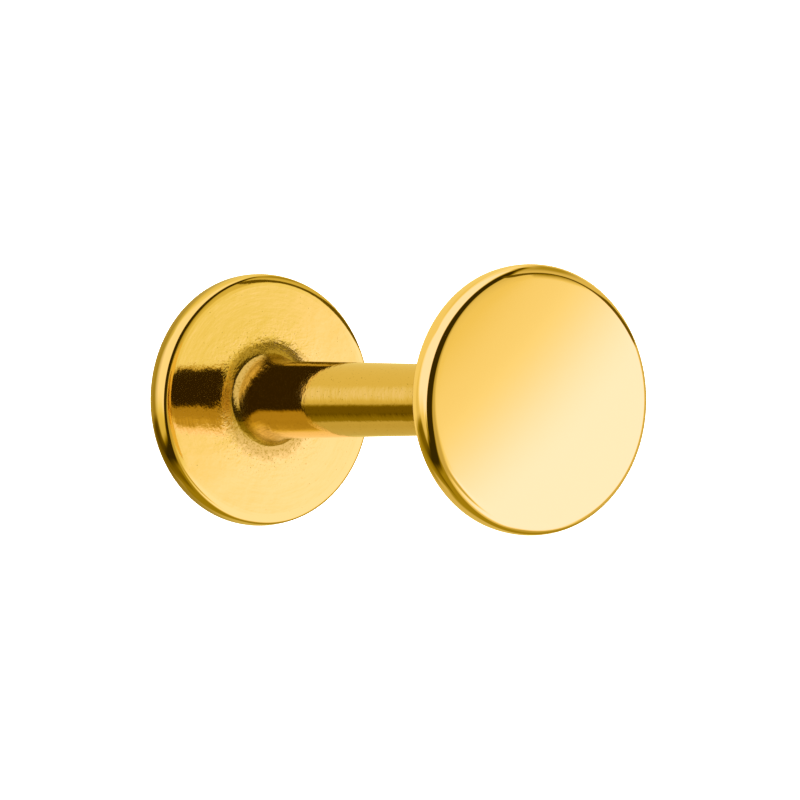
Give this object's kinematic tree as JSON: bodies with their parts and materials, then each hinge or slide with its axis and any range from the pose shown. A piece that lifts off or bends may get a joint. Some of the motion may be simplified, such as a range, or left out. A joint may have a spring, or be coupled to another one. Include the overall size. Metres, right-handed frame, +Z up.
{
  "type": "labret stud",
  "caption": "Gold-coloured flat-back labret stud: a base disc and slightly tapered post in one piece, closed by a polished, softly rounded front disc.",
  "frame": {"origin": "on the surface that the stud lies on, below the middle of its length", "axes": "+X along the post towards the polished front disc, rising 0.9 degrees because the front disc is a little wider; +Z up from the surface; +Y to the left of someone who looks along +X"},
  "size_m": [0.0084, 0.0044, 0.0043],
  "materials": {
    "satin_gold": "tumbled satin, fine grain",
    "polished_gold": "mirror polish"
  },
  "bodies": {
    "root": {"base_post": "satin_gold", "front_disc": "polished_gold"}
  },
  "joints": []
}
